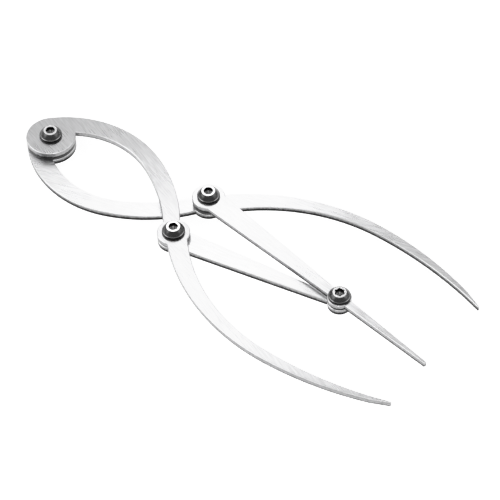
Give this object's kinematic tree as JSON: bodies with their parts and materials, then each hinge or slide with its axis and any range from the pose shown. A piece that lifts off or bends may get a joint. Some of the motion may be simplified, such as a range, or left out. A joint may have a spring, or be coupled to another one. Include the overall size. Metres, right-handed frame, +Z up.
{
  "type": "divider caliper",
  "caption": "Flat steel divider with crossing S-shaped legs and a linked middle point that keeps the golden ratio between the tips at every opening.",
  "frame": {"origin": "on the main pivot's axis, in the plane of the flat underside", "axes": "+X from the main pivot along the middle between the legs towards the points, +Y towards the lower leg's point, +Z up through the pivots towards the screw heads"},
  "size_m": [0.229, 0.0958, 0.0114],
  "materials": {
    "brushed_bar": "fine straight brushing on the flat faces, bright bevelled edges",
    "turned_steel": "turned",
    "blackened_ring": "turned and blackened",
    "dark_screw": "dark, semi-gloss, bright worn ring round the socket",
    "black_washer": "matt black"
  },
  "bodies": {
    "lower_leg": {"leg_lower": "brushed_bar", "screw_main": "dark_screw", "sleeve_main": "turned_steel", "washer_main": "black_washer", "spacer_main": "blackened_ring", "screw_lower_leg": "dark_screw", "sleeve_lower_leg": "turned_steel", "washer_lower_leg": "black_washer", "spacer_lower_leg": "blackened_ring"},
    "upper_leg": {"leg_upper": "brushed_bar"},
    "long_link": {"link_long": "brushed_bar"},
    "short_link": {"link_short": "brushed_bar", "screw_upper_leg": "dark_screw", "sleeve_upper_leg": "turned_steel", "washer_upper_leg": "black_washer", "shim_upper_leg": "black_washer", "screw_links": "dark_screw", "sleeve_links": "turned_steel", "washer_links": "black_washer", "shim_links": "black_washer"}
  },
  "joints": [
    {"name": "main_pivot", "type": "hinge", "parent": "lower_leg", "child": "upper_leg", "pos_m": [0, 0, 0.003], "axis": [0, 0, -1], "range_deg": [-7, 140]},
    {"name": "long_link_pivot", "type": "hinge", "parent": "lower_leg", "child": "long_link", "pos_m": [0.083, 0.01315, 0.003], "axis": [0, 0, -1], "range_deg": [-7, 140]},
    {"name": "short_link_pivot", "type": "hinge", "parent": "upper_leg", "child": "short_link", "pos_m": [0.083, -0.01315, 0.003], "axis": [0, 0, 1], "range_deg": [-7, 140]}
  ],
  "couplings": [
    {"joint": "long_link_pivot", "follows": "main_pivot", "ratio": 1},
    {"joint": "short_link_pivot", "follows": "main_pivot", "ratio": 1}
  ]
}
